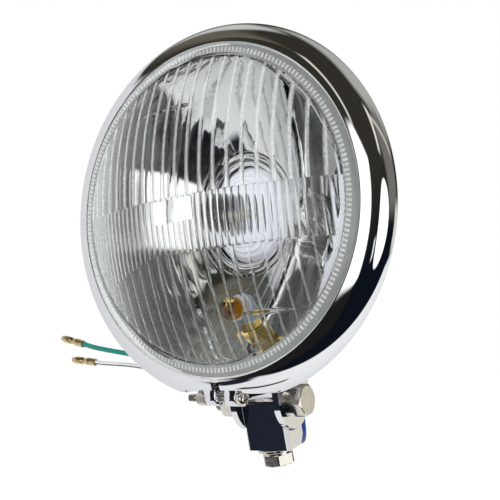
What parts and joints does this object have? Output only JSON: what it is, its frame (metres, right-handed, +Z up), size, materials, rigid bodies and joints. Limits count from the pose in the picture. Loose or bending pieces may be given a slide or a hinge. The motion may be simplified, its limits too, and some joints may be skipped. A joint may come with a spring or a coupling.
{
  "type": "round motorcycle headlight",
  "caption": "Round chrome headlight with a fluted glass lens, a split clamp ring, a deep bowl shell and a tilting bottom mount, with free leads.",
  "frame": {"origin": "centre of the mounting block's bottom face, on the mounting bolt's axis", "axes": "+Z up the mounting block, the lamp faces -Y, the tilt bolt runs along X"},
  "size_m": [0.2221, 0.1211, 0.2036],
  "materials": {
    "lens_glass": "clear pressed glass",
    "reflector_mirror": "vacuum metallised",
    "black_rubber": "matt",
    "spring_steel": "bright drawn",
    "chrome": "polished plate",
    "nickel_steel": "nickel plated",
    "bulb_glass": "clear",
    "bulb_cap": "satin",
    "blade_brass": "bright",
    "white_plastic": "moulded",
    "amber_glass": "tinted",
    "green_sheath": "soft satin",
    "white_sheath": "soft satin",
    "blue_sheath": "soft satin",
    "bullet_brass": "bright"
  },
  "bodies": {
    "bracket": {"mount_block": "chrome", "mount_bolt": "nickel_steel", "mount_washer": "nickel_steel", "mount_lock_washer": "nickel_steel"},
    "head": {"lens": "lens_glass", "reflector": "reflector_mirror", "lens_seal": "black_rubber", "unit_clips": "spring_steel", "trim_ring": "chrome", "clamp_screw": "nickel_steel", "clamp_nut": "nickel_steel", "shell": "chrome", "cable_grommet": "black_rubber", "bulb_glass": "bulb_glass", "bulb_base": "bulb_cap", "bulb_terminals": "blade_brass", "bulb_spring": "spring_steel", "bulb_boot": "black_rubber", "bulb_connector": "white_plastic", "pilot_bulb": "amber_glass", "pilot_holder": "blade_brass", "saddle": "chrome", "tilt_bolt": "nickel_steel", "tilt_lock_washers": "nickel_steel", "tilt_washer": "nickel_steel", "tilt_nut": "nickel_steel", "lead_green": "green_sheath", "lead_white": "white_sheath", "lead_blue": "blue_sheath", "bullet_green": "bullet_brass", "bullet_white": "bullet_brass", "bullet_blue": "bullet_brass"}
  },
  "joints": [
    {"name": "head_tilt", "type": "hinge", "parent": "bracket", "child": "head", "pos_m": [0, 0, 0.0206], "axis": [1, 0, 0], "range_deg": [-30, 30]}
  ]
}
